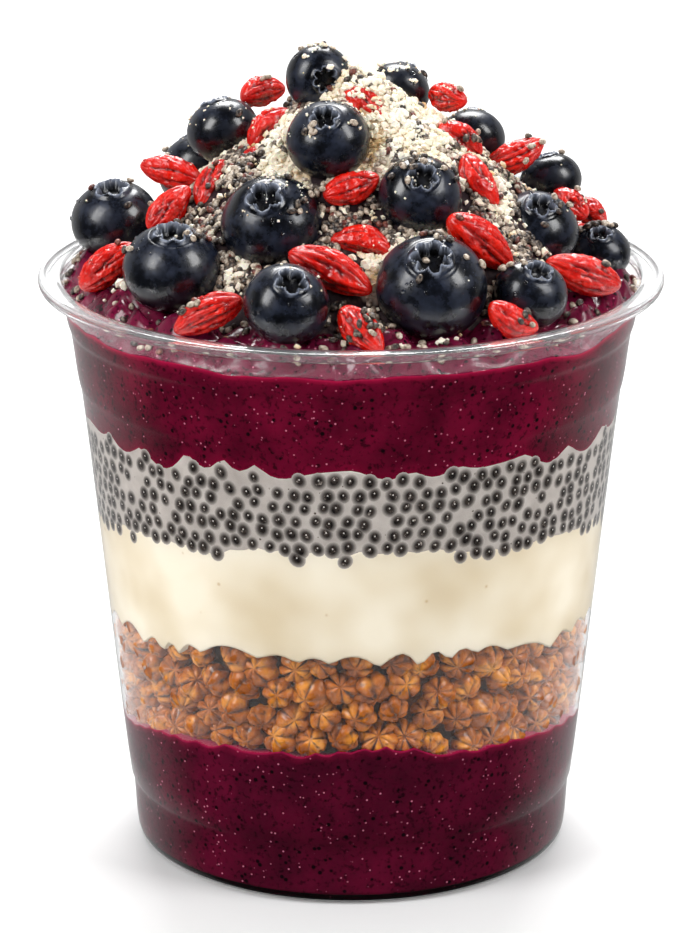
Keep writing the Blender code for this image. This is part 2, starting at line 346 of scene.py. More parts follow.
def soaked_seed_finish():
    finish = Finish("soaked_seed", Roughness=0.3, Specular_IOR_Level=0.05)
    tone = finish.noise(0.6, 2.0)
    colour = finish.ramp(tone, (0.35, srgb(24, 21, 21)), (0.62, srgb(62, 54, 50)),
                         (0.76, srgb(168, 158, 150)))
    finish.link(colour, "Base Color")
    return finish.mat


def crumb_finish():
    finish = Finish("coconut_crumb", Roughness=0.7, Specular_IOR_Level=0.3, Subsurface_Weight=0.15,
                    Subsurface_Scale=0.0015)
    tone = finish.noise(5.0, 4.0)
    colour = finish.ramp(tone, (0.34, srgb(216, 182, 134)), (0.43, srgb(242, 228, 204)),
                         (0.7, srgb(251, 243, 228)))
    finish.link(colour, "Base Color")
    finish.bump(finish.noise(0.5, 3.0), 0.4, 0.2)
    return finish.mat


def seed_finish(name, dark, mid, light):
    finish = Finish(name, Roughness=0.38, Specular_IOR_Level=0.5)
    mottle = finish.noise(0.55, 3.0)
    finish.link(finish.ramp(mottle, (0.36, dark), (0.5, mid), (0.66, light)), "Base Color")
    return finish.mat


def blueberry_finish():
    """Blue-black skin; bloom is thick round the crown and rubbed off in streaks lower down."""
    finish = Finish("blueberry_skin", Specular_IOR_Level=0.5, Coat_Weight=0.25, Coat_Roughness=0.12)
    bloom = finish.attribute("bloom").outputs["Fac"]
    smear = finish.noise(3.0, 5.0, 0.65)
    fine = finish.noise(0.7, 4.0, 0.7)
    amount = finish.math("MULTIPLY", bloom, finish.step(smear, 0.36, 0.66))
    amount = finish.math("MULTIPLY", amount, finish.step(fine, 0.25, 0.7, 0.35, 0.8))
    skin = finish.ramp(finish.noise(5.0, 3.0), (0.3, srgb(3, 4, 7)), (0.7, srgb(10, 12, 19)))
    colour = finish.mix(amount, skin, srgb(38, 47, 68))
    lip = finish.attribute("lip").outputs["Fac"]
    colour = finish.mix(lip, colour, srgb(150, 158, 176))
    hollow = finish.attribute("hollow").outputs["Fac"]
    colour = finish.mix(hollow, colour, srgb(9, 8, 11))
    finish.link(colour, "Base Color")
    finish.link(finish.step(smear, 0.35, 0.68, 0.2, 0.42), "Roughness")
    finish.bump(finish.noise(0.9, 4.0), 0.18, 0.12)
    return finish.mat


def goji_finish():
    finish = Finish("goji_skin", Specular_IOR_Level=0.55, Coat_Weight=0.45, Coat_Roughness=0.1,
                    Subsurface_Weight=0.15, Subsurface_Scale=0.0015)
    crease = finish.attribute("crease").outputs["Fac"]
    tone = finish.noise(2.5, 3.0)
    bright = finish.ramp(tone, (0.3, srgb(186, 8, 4)), (0.7, srgb(234, 30, 8)))
    # painted shade: the folds (low crease value) are darkened to deep red
    colour = finish.mix(finish.step(crease, 0.0, 0.8), srgb(96, 2, 6), bright)
    finish.link(colour, "Base Color")
    finish.link(finish.step(finish.noise(1.2, 2.0), 0.3, 0.7, 0.14, 0.36), "Roughness")
    finish.bump(finish.noise(0.7, 4.0, 0.6), 0.6, 0.3)
    return finish.mat


def water_finish():
    finish = Finish("dew", Roughness=0.0, IOR=1.33, Transmission_Weight=1.0)
    return finish.mat


# =============================================================== cup
def make_cup():
    """Thin wall of even thickness with a curled rim, two beads and a stepped foot."""
    foot = WALL_OUTLINE[0][0]
    outer = [(0, 0.7), (28.4, 0.7), (29.2, 0.0), (foot - 2.2, 0.0), (foot - 0.5, 0.5)] + WALL_OUTLINE
    outer += [(45.9, 91.9), (47.3, 92.0), (48.6, 91.6), (49.0, 92.3), (48.9, 93.0), (48.3, 93.3),
              (46.9, 93.25)]
    inner = [(45.6, 93.1), (45.2, 92.4)]
    inner += [(radius - WALL, height) for radius, height in reversed(WALL_OUTLINE[1:])]
    inner += [(foot - WALL, 3.2), (foot - 1.7, 1.6), (foot - 3.4, 1.3), (0, 1.3)]
    bm = turned(rounded(outer + inner, 2), SIDES)
    for face in bm.faces:
        # rim faces get the rim material, with its painted reflection
        face.material_index = 1 if face.calc_center_median().z > 91.5 else 0
    cup = finish_piece("cup_shell", bm, [clear_plastic(), rim_plastic()], ["cup"])
    cup.visible_shadow = False
    return cup


# =============================================================== layers
def joint_height(name, azimuth):
    mean, rise = JOINTS[name]
    ripple = 0.45 * math.sin(7 * azimuth + mean) + 0.3 * math.sin(11 * azimuth + 2 * mean)
    return mean - rise * math.cos(2 * azimuth) + ripple


def scallops(azimuth, count, depth, seed):
    """Round bites, as left by what presses into the joint, uneven in width."""
    wander = 0.8 * noise.noise(Vector((math.cos(azimuth), math.sin(azimuth), seed)) * 2.0)
    wave = math.sqrt(math.sin(0.5 * count * azimuth + 5.0 * wander) ** 2 + 0.02)
    size = 0.6 + 0.7 * noise.noise(Vector((2 * math.cos(azimuth), 2 * math.sin(azimuth), seed + 5)))
    return depth * (wave - 0.6) * size


def layer_joint(name, azimuth):
    """Visible height of a joint at the wall."""
    base = joint_height(name, azimuth)
    if name == "granola":
        return base + scallops(azimuth, 46, -1.3, 1.0)
    if name == "yogurt":
        return base + scallops(azimuth, 38, 2.6, 2.0)
    if name == "chia":
        around = Vector((math.cos(azimuth), math.sin(azimuth), 3.0))
        return base + 1.6 * noise.noise(around * 4.0) + 0.9 * noise.noise(around * 13.0)
    return base + scallops(azimuth, 28, -3.4, 4.0)


def acai_lip(azimuth):
    drift = noise.noise(Vector((math.cos(azimuth), math.sin(azimuth), 0.3)) * 2.6)
    fine = noise.noise(Vector((math.cos(azimuth), math.sin(azimuth), 5.3)) * 9.0)
    raised = 2.1 * smooth_step(-0.7, 0.1, math.sin(azimuth))
    return min(ACAI_EDGE + raised + 1.4 * drift + 0.5 * fine - 0.5, 91.0)


def wall_rings(low, high):
    """Heights of rings up the wall: even steps plus the cup's own corners."""
    heights = {low + (high - low) * i / 8 for i in range(9)} | {low + 0.35, high - 0.35}
    heights.update(height for _, height in SOFT_WALL if low + 0.8 < height < high - 0.8)
    return sorted(heights)


def layer_shell(under, over, inner):
    """A layer from one joint to the next: its wall side, and flat inside where nothing shows."""
    low = JOINTS[under][0] if under else 1.9
    high = JOINTS[over][0]
    rings = wall_rings(low, high)
    foot = [(food_radius(low) - 1.6, low - 0.15), (food_radius(low) - 0.5, low)] if not under else []
    outline = [(0, low - (0 if under else 0.15))] + foot
    outline += [(food_radius(height), height) for height in rings]
    outline += [(inner, high), (0, high)]
    bm = turned(outline, SIDES)
    lip = bm.verts.layers.float.new("lip")
    for v in bm.verts:
        radius = math.hypot(v.co.x, v.co.y)
        if radius < inner + 0.5:
            continue
        azimuth = math.atan2(v.co.y, v.co.x)
        bottom = layer_joint(under, azimuth) if under else low
        top = layer_joint(over, azimuth)
        share = (v.co.z - low) / (high - low)
        if not under and v.co.z < 13:
            continue
        v.co.z = bottom + (top - bottom) * share if under else low + (top - low) * share
        v[lip] = smooth_step(top - 0.55, top, v.co.z)
        scale = food_radius(v.co.z) / radius
        v.co.x *= scale
        v.co.y *= scale
    return bm


def make_acai_base(mat):
    bm = layer_shell(None, "granola", 30.0)
    return finish_piece("acai_base_puree", bm, mat, ["acai_base"])


def make_yogurt():
    bm = layer_shell("yogurt", "chia", 30.0)
    return finish_piece("yogurt_cream", bm, yogurt_finish(), ["yogurt_layer"])


def make_chia_gel():
    bm = layer_shell("chia", "acai", 30.0)
    return finish_piece("chia_gel", bm, gel_finish(), ["chia_pudding"])


def wall_places(low_of, high_of, spacing, draw, jitter=0.25):
    """Points in staggered rows on the wall between two heights, as (azimuth, height)."""
    found = []
    height = 15.0
    row = 0
    while height < 90.0:
        count = int(2 * math.pi * food_radius(height) / spacing)
        for i in range(count):
            azimuth = 2 * math.pi * (i + 0.5 * (row % 2) + draw.uniform(-jitter, jitter)) / count - math.pi
            level = height + spacing * draw.uniform(-jitter, jitter)
            if low_of(azimuth) < level < high_of(azimuth):
                found.append((azimuth, level))
        height += spacing * 0.87
        row += 1
    return found


def wall_frame(azimuth, height, inset):
    """Matrix that puts X along the wall, Z out of it and Y up its slope, at a place on the wall."""
    radius = food_radius(height) - inset
    level = Vector((math.cos(azimuth), math.sin(azimuth), 0))
    along = Vector((-level.y, level.x, 0))
    up = (level * (food_radius(height + 0.5) - food_radius(height - 0.5)) + Vector((0, 0, 1))).normalized()
    matrix = Matrix((along, up, along.cross(up))).transposed().to_4x4()
    matrix.translation = level * radius + Vector((0, 0, height))
    return matrix


def ball(segments, rings):
    bm = bmesh.new()
    bmesh.ops.create_uvsphere(bm, u_segments=segments, v_segments=rings, radius=1.0)
    return bm


def add_layer_value(bm, name, of_vertex):
    """Store a number on each vertex for a material to read."""
    layer = bm.verts.layers.float.new(name)
    for v in bm.verts:
        v[layer] = of_vertex(v)


def make_chia_seeds():
    draw = random.Random(5)
    places = wall_places(lambda a: layer_joint("chia", a) - 0.9, lambda a: layer_joint("acai", a) - 0.6,
                         CHIA_SPACING, draw, 0.17)
    halos = []
    seeds = []
    glints = []
    for azimuth, level in places:
        turn = Matrix.Rotation(draw.uniform(0.9, 2.2), 4, "Z")
        size = draw.uniform(0.85, 1.12)
        if draw.random() < 0.03:
            continue
        halo_size = Matrix.Diagonal((1.42 * size, 1.22 * size, 0.11, 1))
        seed_size = Matrix.Diagonal((0.74 * size, 0.56 * size, 0.22, 1))
        glint_size = Matrix.Diagonal((0.12, 0.16, 0.02, 1))
        halos.append(wall_frame(azimuth, level, 0.03) @ turn @ halo_size)
        seeds.append(wall_frame(azimuth, level, 0.0) @ turn @ seed_size)
        # painted highlight: a small pale bead above each seed stands in for its glint
        glints.append(wall_frame(azimuth, level + 0.18 * size, -0.205) @ glint_size)
    disc = ball(14, 8)
    add_layer_value(disc, "crease", lambda v: max(0.0, 1.0 - math.hypot(v.co.x, v.co.y)) ** 0.8)
    finish_piece("chia_halos", copies(disc, halos), halo_finish())
    finish_piece("chia_seeds", copies(ball(10, 6), seeds), soaked_seed_finish())
    # painted highlight: matte pale material for the glint beads
    glint = Finish("seed_glint", Roughness=0.5, Specular_IOR_Level=0.0)
    glint.shader.inputs["Base Color"].default_value = srgb(214, 208, 202)
    finish_piece("seed_glints", copies(ball(6, 4), glints), glint.mat)


def granola_cluster(draw):
    """A glazed cluster: a flattened knob cut by radial creases into five to eight lobes."""
    bm = ball(32, 16)
    lobes = draw.choice((5, 6, 7, 8))
    twist = draw.uniform(0, 6.28)
    bend = draw.uniform(0.1, 0.5)
    layer = bm.verts.layers.float.new("crease")
    for v in bm.verts:
        azimuth = math.atan2(v.co.y, v.co.x)
        radius = math.hypot(v.co.x, v.co.y)
        lobe = abs(math.sin(0.5 * lobes * azimuth + twist + bend * math.sin(2 * azimuth)))
        groove = math.sqrt(min(1.0, lobe * 1.15))
        depth = 0.36 * (1.0 - groove) * smooth_step(0.10, 0.4, radius)
        depth *= 1.0 - 0.45 * smooth_step(0.7, 1.0, radius)
        dimple = 0.22 * smooth_step(0.35, 0.0, radius)
        ridge = abs(noise.noise(v.co * 1.9 + Vector((twist * 3, 0, bend * 9))))
        wrinkle = smooth_step(0.11, 0.0, ridge)
        rough = 0.12 * noise.noise(v.co * 2.3 + Vector((twist, 0, 0)))
        # crease value: low in grooves, dimples and wrinkles, where the glaze material paints shade
        v[layer] = min(1.0, max(0.0, groove * (1.0 - 1.5 * dimple) * (1.0 - 0.6 * wrinkle)))
        v.co *= 1.0 - depth - dimple + rough - 0.07 * wrinkle
        v.co.z *= 0.72
    return bm


def granola_places(draw):
    """Rows of places that follow the lower joint up to the upper one, as (azimuth, height)."""
    found = []
    row = 0
    while row < 6:
        count = round(2 * math.pi * 38.0 / CLUSTER_SPACING)
        for i in range(count):
            azimuth = 2 * math.pi * (i + 0.5 * (row % 2) + draw.uniform(-0.17, 0.17)) / count - math.pi
            level = layer_joint("granola", azimuth) + 1.5 + CLUSTER_ROW * row + draw.uniform(-0.7, 0.7)
            if level < layer_joint("yogurt", azimuth) + 1.2:
                found.append((azimuth, level))
        row += 1
    return found


def make_granola():
    """Clusters packed against the wall in uneven rows, over a core painted dark brown as the shade in the
    gaps between them.
    """
    draw = random.Random(9)
    low = min(layer_joint("granola", 0.1 * i) for i in range(63)) - 4
    high = max(layer_joint("yogurt", 0.1 * i) for i in range(63)) + 3
    core = turned([(0, low), (food_radius(low) - 3.4, low), (food_radius(high) - 3.4, high), (0, high)], 96)
    # painted shade: the core is dark brown so the gaps between clusters look shaded
    finish = Finish("granola_core_shade", Roughness=0.8, Specular_IOR_Level=0.0)
    tone = finish.noise(3.0, 3.0)
    finish.link(finish.ramp(tone, (0.35, srgb(44, 18, 4)), (0.7, srgb(92, 44, 12))), "Base Color")
    finish_piece("granola_core", core, finish.mat, ["granola_layer"])
    kinds = [granola_cluster(draw) for _ in range(6)]
    meshes = []
    for kind in kinds:
        mesh = bpy.data.meshes.new("cluster")
        kind.to_mesh(mesh)
        kind.free()
        meshes.append(mesh)
    inner = granola_ring(meshes, draw, 3.0)
    outer = granola_ring(meshes, draw, 0.0)
    for mesh in meshes:
        bpy.data.meshes.remove(mesh)
    # painted shade: the clusters behind get a darker copy of the glaze
    finish_piece("granola_behind", inner, granola_finish("granola_shaded", 0.62))
    finish_piece("granola_clusters", outer, granola_finish("granola_glaze", 0.0))


def granola_ring(meshes, draw, behind):
    """Clusters against the wall, or behind the first ones."""
    out = bmesh.new()
    for azimuth, level in granola_places(draw):
        size = draw.uniform(2.45, 3.3)
        lean = Matrix.Rotation(draw.uniform(-0.7, 0.7), 4, "X")
        tilt = lean @ Matrix.Rotation(draw.uniform(-0.7, 0.7), 4, "Y")
        spin = Matrix.Rotation(draw.uniform(0, 6.28), 4, "Z")
        matrix = wall_frame(azimuth, level, behind + size * draw.uniform(0.72, 0.95)) @ tilt @ spin
        add_copy(out, draw.choice(meshes), matrix @ Matrix.Scale(size, 4))
    for v in out.verts:
        radius = math.hypot(v.co.x, v.co.y)
        limit = food_radius(v.co.z) - 0.02
        if radius > limit:
            v.co.x *= limit / radius
            v.co.y *= limit / radius
    return out


def make_acai_top(mat, open_mat):
    """The upper puree, wavy at the wall, with soft round lumps pushed up round the fruit."""
    low = JOINTS["acai"][0]
    rings = wall_rings(low, ACAI_EDGE)
    radii = [43.6 - 0.45 * i for i in range(1, 28)]
    outline = [(0, low)] + [(food_radius(height), height) for height in rings]
    outline += [(radius, ACAI_EDGE + 0.5) for radius in radii] + [(0, ACAI_EDGE)]
    bm = turned(outline, SIDES)
    lip = bm.verts.layers.float.new("lip")
    for v in bm.verts:
        radius = math.hypot(v.co.x, v.co.y)
        if radius < 31:
            continue
        azimuth = math.atan2(v.co.y, v.co.x)
        edge = acai_lip(azimuth)
        if v.co.z <= ACAI_EDGE + 0.1:
            share = (v.co.z - low) / (ACAI_EDGE - low)
            bottom = layer_joint("acai", azimuth)
            v.co.z = bottom + (edge - bottom) * share
            scale = food_radius(v.co.z) / radius
            v.co.x *= scale
            v.co.y *= scale
            # lip value at the top and lower edges: the material brightens it, partly thinner puree, partly
            # painted highlight
            top_edge = smooth_step(edge - 1.1, edge + 0.2, v.co.z)
            lower_edge = 0.7 * smooth_step(bottom + 0.5, bottom, v.co.z)
            v[lip] = max(top_edge, lower_edge)
        else:
            v.co.z = acai_surface(v.co.x, v.co.y, edge)
    for face in bm.faces:
        face.material_index = 1 if face.normal.z > 0.5 else 0
    return finish_piece("acai_top_puree", bm, [mat, open_mat], ["acai_top"])


def acai_surface(x, y, edge):
    """Height of the puree inside the cup: lumps that swell up and meet in creases."""
    radius = math.hypot(x, y)
    inward = food_radius(edge) - radius
    distances, _ = noise.voronoi(Vector((x, y, 0.0)) / 6.2)
    crease = min((distances[1] - distances[0]) / 0.6, 1.0)
    swell = 2.8 * math.sin(0.5 * math.pi * crease) - 1.0
    near_wall = smooth_step(0.0, 2.2, inward)
    left = smooth_step(0.5, 0.95, -x / max(radius, 1.0))
    return edge + (0.9 + (2.2 + 1.6 * left) * smooth_step(0, 5.0, inward) + swell) * near_wall


# =============================================================== fruit
def corner_tally(node):
    """Each corner of a CAD solid, in millimetres, with the number of triangles that meet there."""
    tally = {}
    mesh = NODES[node].data
    for face in mesh.polygons:
        for index in face.vertices:
            key = tuple(round(c / MM, 2) for c in mesh.vertices[index].co)
            tally[key] = tally.get(key, 0) + 1
    return tally


def berry_pose(node):
    """Middle, radius and crown direction of a blueberry: most triangles meet at its two poles."""
    tally = corner_tally(node)
    middle = sum((Vector(corner) for corner in tally), Vector()) / len(tally)
    ends = [Vector(end) for end in sorted(tally, key=tally.get, reverse=True)[:2]]
    ends.sort(key=lambda end: (end - middle).length, reverse=True)
    bottom, top = ends
    axis = (top - bottom).normalized()
    high = (top - bottom).length / 1.78
    return bottom + axis * high, high / 0.87, axis


def blueberry(radius, draw):
    """Oblate berry whose crown is a ring shelf round a star-shaped hollow."""
    rings = 30
    outline = []
    for i in range(rings + 1):
        angle = math.pi * i / rings
        outline.append((math.sin(angle) * radius, -math.cos(angle) * radius * 0.87))
    extra = [0.05, 0.12, 0.18, 0.23, 0.27, 0.31, 0.35, 0.38, 0.41, 0.44, 0.48, 0.53]
    body = [point for point in outline if not (point[1] > 0 and point[0] < 0.57 * radius)]
    crown = []
    for share in reversed(extra):
        crown.append((share * radius, 0.87 * radius * math.sqrt(1 - share * share)))
    bm = turned(body + crown + [(0, 0.87 * radius)], 60)
    bloom = bm.verts.layers.float.new("bloom")
    hollow = bm.verts.layers.float.new("hollow")
    lip = bm.verts.layers.float.new("lip")
    points = draw.choice((5, 5, 6, 7))
    twist = draw.uniform(0, 6.28)
    wide = draw.uniform(0.36, 0.43)
    patch = Vector((draw.uniform(-9, 9), draw.uniform(-9, 9), draw.uniform(-9, 9)))
    for v in bm.verts:
        share = math.hypot(v.co.x, v.co.y) / radius
        azimuth = math.atan2(v.co.y, v.co.x)
        bump = 1.0 + 0.018 * noise.noise(v.co / radius * 1.6 + patch)
        v.co *= bump
        v[bloom] = 0.12 + 0.88 * smooth_step(-0.5, 0.75, v.co.z / radius)
        if v.co.z > 0 and share < 0.56:
            star = abs(math.sin(0.5 * points * azimuth + twist)) ** 0.8
            edge = wide * (0.50 + 0.36 * star + 0.05 * noise.noise(Vector((azimuth * 3, patch.x, 0))))
            inside = smooth_step(edge + 0.035, edge - 0.02, share)
            shelf = smooth_step(wide + 0.08, wide, share) * (1 - inside)
            groove = smooth_step(0.045, 0.0, abs(share - wide - 0.03))
            v.co.z += radius * (0.035 * shelf - 0.045 * groove - 0.22 * inside)
            curl = smooth_step(0.05, 0.0, abs(share - edge - 0.03))
            v.co.z += radius * 0.035 * curl
            v[lip] = 0.8 * curl
            v[hollow] = inside * (1.0 if share > 0.1 else 0.75)
    return bm


def lay_along(bm, centre, axis, twist):
    turn = Vector((0, 0, 1)).rotation_difference(axis).to_matrix().to_4x4()
    bmesh.ops.transform(bm, matrix=Matrix.Translation(centre) @ turn @ Matrix.Rotation(twist, 4, "Z"),
                        verts=bm.verts)


def make_blueberries():
    skin = blueberry_finish()
    pieces = []
    for index, node in enumerate(BLUEBERRIES):
        draw = random.Random(100 + index)
        centre, radius, axis = berry_pose(node)
        bm = blueberry(radius * 1.02, draw)
        lay_along(bm, centre, axis, draw.uniform(0, 6.28))
        pieces.append(finish_piece(f"{node}_skin", bm, skin, [node]))
    return pieces


def goji_ends(node):
    """The two tips of a goji berry: its corners that lie farthest apart."""
    corners = [Vector(corner) for corner in corner_tally(node)]
    pairs = ((a, b) for i, a in enumerate(corners) for b in corners[i + 1:])
    return max(pairs, key=lambda pair: (pair[0] - pair[1]).length)


def goji_berry(length, width, draw):
    """A dried berry: a blunt spindle with deep lengthwise folds and cross wrinkles."""
    rings = 44
    outline = []
    for i in range(rings + 1):
        t = i / rings
        swell = math.sin(math.pi * t) ** 0.55
        outline.append((width * swell * (1.0 - 0.18 * (t - 0.4)), length * (t - 0.5)))
    bm = turned(outline, 64)
    crease = bm.verts.layers.float.new("crease")
    seed = Vector((draw.uniform(-9, 9), draw.uniform(-9, 9), draw.uniform(-9, 9)))
    bend = draw.uniform(-0.1, 0.1) * length
    for v in bm.verts:
        t = v.co.z / length + 0.5
        azimuth = math.atan2(v.co.y, v.co.x)
        around = Vector((math.cos(azimuth), math.sin(azimuth), 0))
        fold = noise.noise(around * 1.7 + Vector((0, 0, t * 1.1)) + seed)
        wrinkle = noise.noise(around * 3.4 + Vector((0, 0, t * 4.6)) + seed)
        pebble = noise.noise(around * 6.0 + Vector((0, 0, t * 13.0)) + seed)
        deep = smooth_step(0.22, 0.0, abs(fold))
        fine = smooth_step(0.2, 0.0, abs(wrinkle))
        fade = math.sin(math.pi * min(max(t, 0.02), 0.98)) ** 0.5
        shrink = 1.0 - fade * (0.24 * deep + 0.12 * fine - 0.07 * pebble)
        # crease value: low in the folds, where the goji material paints shade
        v[crease] = 1.0 - min(1.0, 0.75 * deep + 0.5 * fine) * fade
        v.co.x *= shrink
        v.co.y *= shrink
        v.co.x += bend * (math.sin(math.pi * t) - 0.5)
    return bm


def make_goji():
    skin = goji_finish()
    pieces = []
    for index, node in enumerate(GOJI):
        draw = random.Random(300 + index)
        ends = goji_ends(node)
        axis = (ends[1] - ends[0]).normalized()
        length = (ends[1] - ends[0]).length
        width = 0.5 * (2.4 + 0.28 * length) * draw.uniform(1.0, 1.14)
        bm = goji_berry(length * 1.04, width, draw)
        lay_along(bm, (ends[0] + ends[1]) / 2, axis, draw.uniform(0, 6.28))
        pieces.append(finish_piece(f"{node}_skin", bm, skin, [node]))
    return pieces


# =============================================================== heap
HEAP_TOP = 125.0
HEAP_RADIUS = 36.0
HEAP_FOOT = 89.4
HEAP_SINK = 2.3                  # the core lies this far under the crumbs and seeds


def heap_height(x, y):
    radius = math.hypot(x, y)
    sideways = (x / radius) ** 2 if radius > 0.5 else 0.5
    steep = 0.92 - 0.47 * sideways
    bend = 0.001 + 0.0075 * sideways
    lumps = 1.1 * noise.noise(Vector((x, y, 0.0)) / 6.0)
    slope = HEAP_TOP - steep * radius - bend * radius ** 2 + lumps
    foot = smooth_step(HEAP_RADIUS + 1.5, HEAP_RADIUS - 4.0, radius)
    return HEAP_FOOT + (slope - HEAP_FOOT) * foot


def core_height(x, y):
    """The core lies under the crumbs and seeds, deeper where the fruit is thick."""
    crest = smooth_step(11.0, 5.0, math.hypot(x - 4.0, y - 1.0))
    right = 0.6 * smooth_step(2.0, 9.0, x)
    return heap_height(x, y) - HEAP_SINK * (1 - max(crest, right))


def coconut_share(x, y):
    """Where the heap shows coconut rather than seeds: round the top and in a few drifts."""
    radius = math.hypot(x, y)
    crest = smooth_step(17.0, 8.0, math.hypot(x - 6.0, y + 1.0))
    drift = smooth_step(0.05, 0.35, noise.noise(Vector((x, y, 7.0)) / 9.0))
    return max(crest, drift * smooth_step(36.0, 22.0, radius))


def make_heap_core():
    rings = 60
    outline = [(0, HEAP_FOOT - 1)] + [(HEAP_RADIUS + 1.5, HEAP_FOOT - 1)]
    outline += [((HEAP_RADIUS + 1.5) * (1 - i / rings), HEAP_TOP) for i in range(rings + 1)]
    bm = turned(outline, 200)
    for v in bm.verts:
        if v.co.z > HEAP_TOP - 1:
            x, y = v.co.x, v.co.y
            grain = 0.45 * fractal((x, y, 0), 1.8) * coconut_share(x, y)
            v.co.z = core_height(x, y) + grain
    coconut = bm.verts.layers.float.new("coconut")
    for v in bm.verts:
        v[coconut] = coconut_share(v.co.x, v.co.y)
    finish = Finish("heap_surface", Roughness=0.65, Specular_IOR_Level=0.3)
    bed = finish.cells(1.3)
    seeds = finish.ramp(bed.outputs["Distance"], (0.1, srgb(70, 52, 50)), (0.5, srgb(34, 12, 20)))
    tone = finish.noise(5.0, 4.0)
    crumb = finish.ramp(tone, (0.34, srgb(216, 182, 134)), (0.43, srgb(242, 228, 204)),
                        (0.7, srgb(251, 243, 228)))
    share = finish.step(finish.attribute("coconut").outputs["Fac"], 0.35, 0.6)
    finish.link(finish.mix(share, seeds, crumb), "Base Color")
    finish.bump(finish.noise(0.8, 4.0), 0.6, 0.5)
    return finish_piece("heap_core", bm, finish.mat, ["coconut_heap"])


def surface_tree(pieces):
    """One ray-cast tree over several pieces, in millimetres."""
    verts = []
    faces = []
    for piece in pieces:
        start = len(verts)
        verts.extend(v.co / MM for v in piece.data.vertices)
        faces.extend([start + i for i in polygon.vertices] for polygon in piece.data.polygons)
    return BVHTree.FromPolygons(verts, faces)


def aim(draw, reach):
    """A random line down onto the heap, leaning out from its middle, as (start, direction)."""
    radius = reach * math.sqrt(draw.random())
    azimuth = draw.uniform(0, 2 * math.pi)
    x, y = radius * math.cos(azimuth), radius * math.sin(azimuth)
    lean = draw.uniform(0.0, 1.2)
    heading = azimuth + draw.uniform(-0.8, 0.8)
    back = Vector((math.sin(lean) * math.cos(heading), math.sin(lean) * math.sin(heading), math.cos(lean)))
    return Vector((x, y, core_height(x, y))) + 60 * back, -back


def first_hit(tree, line):
    """First surface along a line, as (place, outward normal, distance), or None."""
    place, normal, _, distance = tree.ray_cast(*line)
    if place is None:
        return None
    if normal.dot(line[1]) > 0:
        normal = -normal
    return place, normal, distance


def resting(place, normal, size, draw, sink=0.3):
    """Matrix for a grain of a given size lying on a surface."""
    turn = Vector((0, 0, 1)).rotation_difference(normal).to_matrix().to_4x4()
    lean = Matrix.Rotation(draw.uniform(-0.5, 0.5), 4, "X")
    spin = Matrix.Rotation(draw.uniform(0, 6.28), 4, "Z")
    at = Matrix.Translation(place + normal * size.z * (1 - sink))
    return at @ turn @ lean @ spin @ Matrix.Diagonal((size.x, size.y, size.z, 1))


SEED_KINDS = [
    ("seeds_pale", srgb(104, 88, 74), srgb(172, 156, 138), srgb(214, 202, 186), 0.45),
    ("seeds_grey", srgb(22, 18, 18), srgb(70, 60, 54), srgb(128, 114, 100), 0.48),
    ("seeds_brown", srgb(60, 24, 20), srgb(104, 50, 42), srgb(150, 96, 78), 0.07),
]


def make_seeds(on_heap, on_fruit):
    """Loose chia seeds: thick in the hollows between fruit, thin on the fruit."""
    draw = random.Random(21)
    places = {kind[0]: [] for kind in SEED_KINDS}
    names = [kind[0] for kind in SEED_KINDS]
    weights = [kind[4] for kind in SEED_KINDS]
    for _ in range(17000):
        line = aim(draw, 42.0)
        hit = first_hit(on_heap, line)
        hit_fruit = first_hit(on_fruit, line)
        sunk = 0.25
        if hit_fruit and (hit is None or hit_fruit[2] < hit[2]):
            patch = smooth_step(0.2, 0.45, noise.noise(hit_fruit[0] / 6.0))
            if hit_fruit[1].z < 0.45 or draw.random() > 0.016 + 0.32 * patch:
                continue
            hit, sunk = hit_fruit, 0.1
        elif hit is None:
            continue
        else:
            x, y, _ = hit[0]
            patchy = smooth_step(-0.45, 0.1, noise.noise(hit[0] / 5.0))
            if draw.random() > (1 - 0.8 * coconut_share(x, y)) * patchy:
                continue
            if math.hypot(x, y) > 36.0 and draw.random() > 0.06:
                continue
        size = Vector((draw.uniform(0.66, 0.86), draw.uniform(0.46, 0.58), draw.uniform(0.38, 0.46)))
        places[draw.choices(names, weights)[0]].append(resting(hit[0], hit[1], size, draw, sunk))
    for name, dark, mid, light, _ in SEED_KINDS:
        if places[name]:
            finish_piece(name, copies(ball(8, 5), places[name]), seed_finish(name, dark, mid, light))


def coarse_crumb(draw):
    bm = bmesh.new()
    bmesh.ops.create_icosphere(bm, subdivisions=1, radius=1.0)
    for v in bm.verts:
        v.co *= draw.uniform(0.55, 1.3)
    return bm


def fine_crumb(draw):
    bm = bmesh.new()
    bmesh.ops.create_cube(bm, size=1.5)
    for v in bm.verts:
        v.co *= draw.uniform(0.5, 1.2)
    return bm


